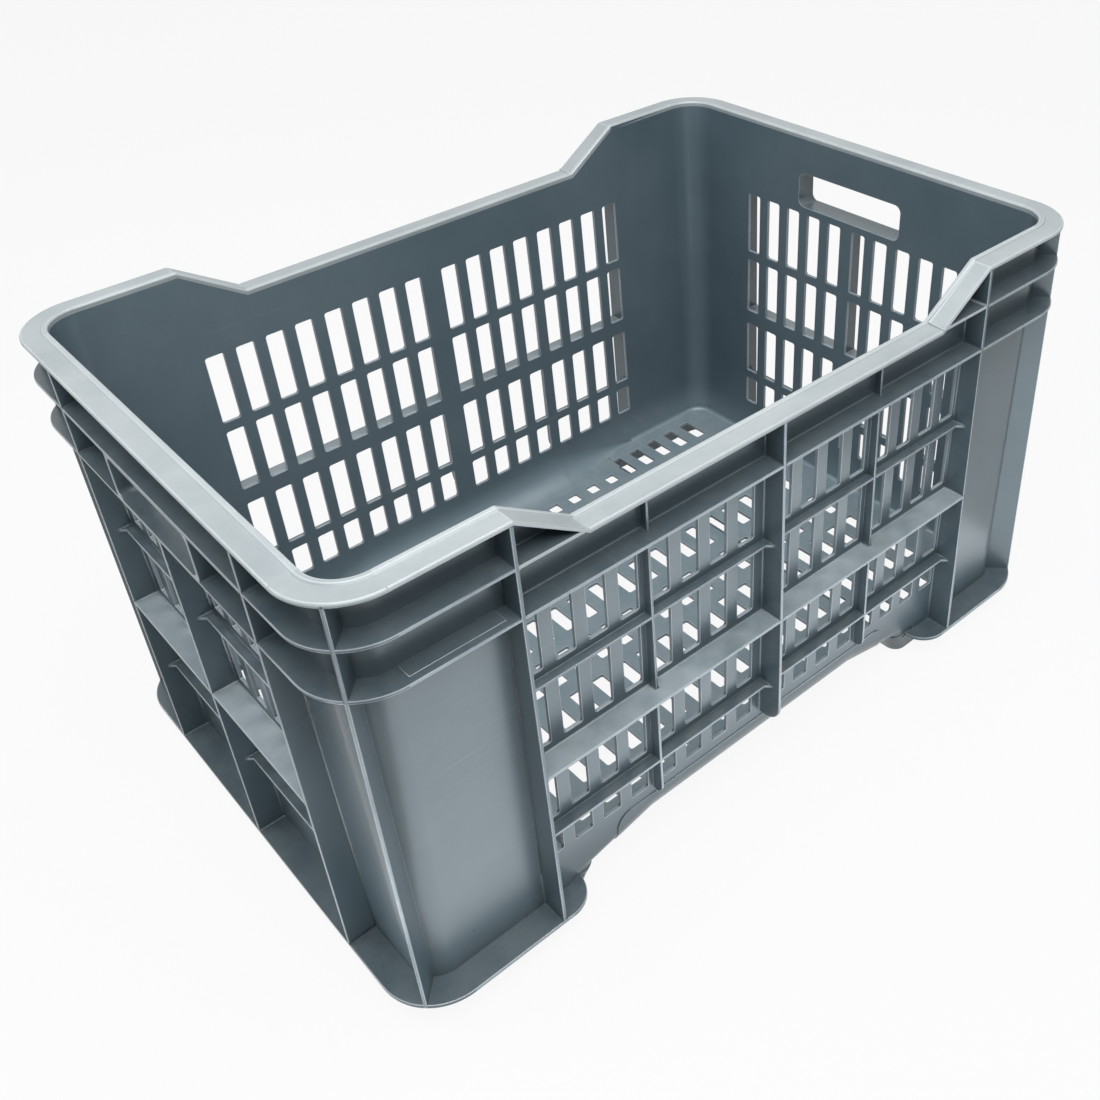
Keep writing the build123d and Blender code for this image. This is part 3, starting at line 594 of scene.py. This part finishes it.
def pale_floor():
    """White paper under the crate, which keeps some of its shadow."""
    mesh = bmesh.new()
    bmesh.ops.create_grid(mesh, x_segments=1, y_segments=1, size=6.0)
    shape = bpy.data.meshes.new("studio_floor")
    mesh.to_mesh(shape)
    mesh.free()
    floor = bpy.data.objects.new("studio_floor", shape)
    scene.collection.objects.link(floor)
    paper = bpy.data.materials.new("white_paper")
    paper.use_nodes = True
    tree = paper.node_tree
    tree.nodes.clear()
    lit = wire(tree, "ShaderNodeBsdfDiffuse", {"Color": (0.48, 0.48, 0.48, 1)})
    glow = wire(tree, "ShaderNodeEmission", {"Color": (1, 1, 1, 1), "Strength": 1.0})
    share = wire(tree, "ShaderNodeMath", {0: white_for_seen_rays(tree), 1: WHITE_SHARE}, operation="MULTIPLY")
    both = wire(tree, "ShaderNodeMixShader", {0: share.outputs[0], 1: lit.outputs[0], 2: glow.outputs[0]})
    out = tree.nodes.new("ShaderNodeOutputMaterial")
    tree.links.new(both.outputs[0], out.inputs["Surface"])
    shape.materials.append(paper)


def studio_world(strength):
    """Soft light from all round, seen as white."""
    world = bpy.data.worlds.new("studio")
    scene.world = world
    world.use_nodes = True
    tree = world.node_tree
    tree.nodes.clear()
    light = wire(tree, "ShaderNodeBackground", {"Color": (0.88, 0.96, 1.0, 1), "Strength": strength})
    white = wire(tree, "ShaderNodeBackground", {"Color": (1, 1, 1, 1), "Strength": 1.0})
    both = wire(tree, "ShaderNodeMixShader", {0: white_for_seen_rays(tree), 1: light.outputs[0],
                                              2: white.outputs[0]})
    out = tree.nodes.new("ShaderNodeOutputWorld")
    tree.links.new(both.outputs[0], out.inputs["Surface"])


def soft_lamp(name, wide, deep, watts, tint):
    """A flat lamp that the camera does not see."""
    lamp = bpy.data.lights.new(name, "AREA")
    lamp.shape = "RECTANGLE"
    lamp.size, lamp.size_y, lamp.energy, lamp.color = wide, deep, watts, tint
    stand = bpy.data.objects.new(name, lamp)
    scene.collection.objects.link(stand)
    stand.visible_camera = False
    return stand


def softbox(name, way, away, wide, high, watts, tint=(1, 1, 1)):
    """A soft lamp that looks at the middle of the crate."""
    stand = soft_lamp(name, wide, high, watts, tint)
    centre = Vector((0, 0, 0.17))
    stand.location = centre + Vector(way).normalized() * away
    stand.rotation_euler = (centre - stand.location).to_track_quat("-Z", "Y").to_euler()


def floor_glow(name, wide, deep, middle, watts):
    """A soft lamp that lies on the floor beside the crate and shines up, as a white table does."""
    stand = soft_lamp(name, wide, deep, watts, TABLE_TINT)
    stand.location = middle
    stand.rotation_euler = (pi, 0, 0)


def photo_camera():
    """The photograph's own view, fitted to the crate's edges."""
    turn, lift, roll = radians(-40.6203), radians(35.1268), radians(-2.5246)
    sideways, upward, distance = -0.0614772, -0.0020363, 0.9175628
    focal, middle_x, middle_y, frame_px = 1239.9562, 669.0716, 469.7208, 1100   # photo pixels
    film = 36   # mm
    back = Vector((sin(turn) * cos(lift), -cos(turn) * cos(lift), sin(lift)))
    right = Vector((0, 0, 1)).cross(back).normalized()
    up = back.cross(right)
    across = cos(roll) * right + sin(roll) * up
    along = cos(roll) * up - sin(roll) * right
    place = Vector((0, 0, 0.167)) - (across * sideways + along * upward - back * distance)
    lens = bpy.data.cameras.new("photo_view")
    lens.sensor_width = film
    lens.lens = focal / frame_px * film
    lens.shift_x = (frame_px / 2 - middle_x) / frame_px
    lens.shift_y = (middle_y - frame_px / 2) / frame_px
    lens.clip_start = 0.01
    camera = bpy.data.objects.new("photo_view", lens)
    scene.collection.objects.link(camera)
    camera.matrix_world = Matrix((across, along, back)).transposed().to_4x4()
    camera.matrix_world.translation = place
    scene.camera = camera


pale_floor()
studio_world(0.17)
softbox("top_light", (-0.14, -0.36, 1.0), 1.4, 1.3, 1.3, 34)
softbox("back_light", (-0.70, 0.50, 0.80), 1.7, 1.0, 0.8, 9, (0.92, 0.97, 1.0))
floor_glow("front_glow", 0.66, 0.60, (0.0, -0.515, 0.004), 2.1)
floor_glow("corner_glow", 0.20, 0.10, (-0.45, -0.17, 0.005), 0.45)
photo_camera()
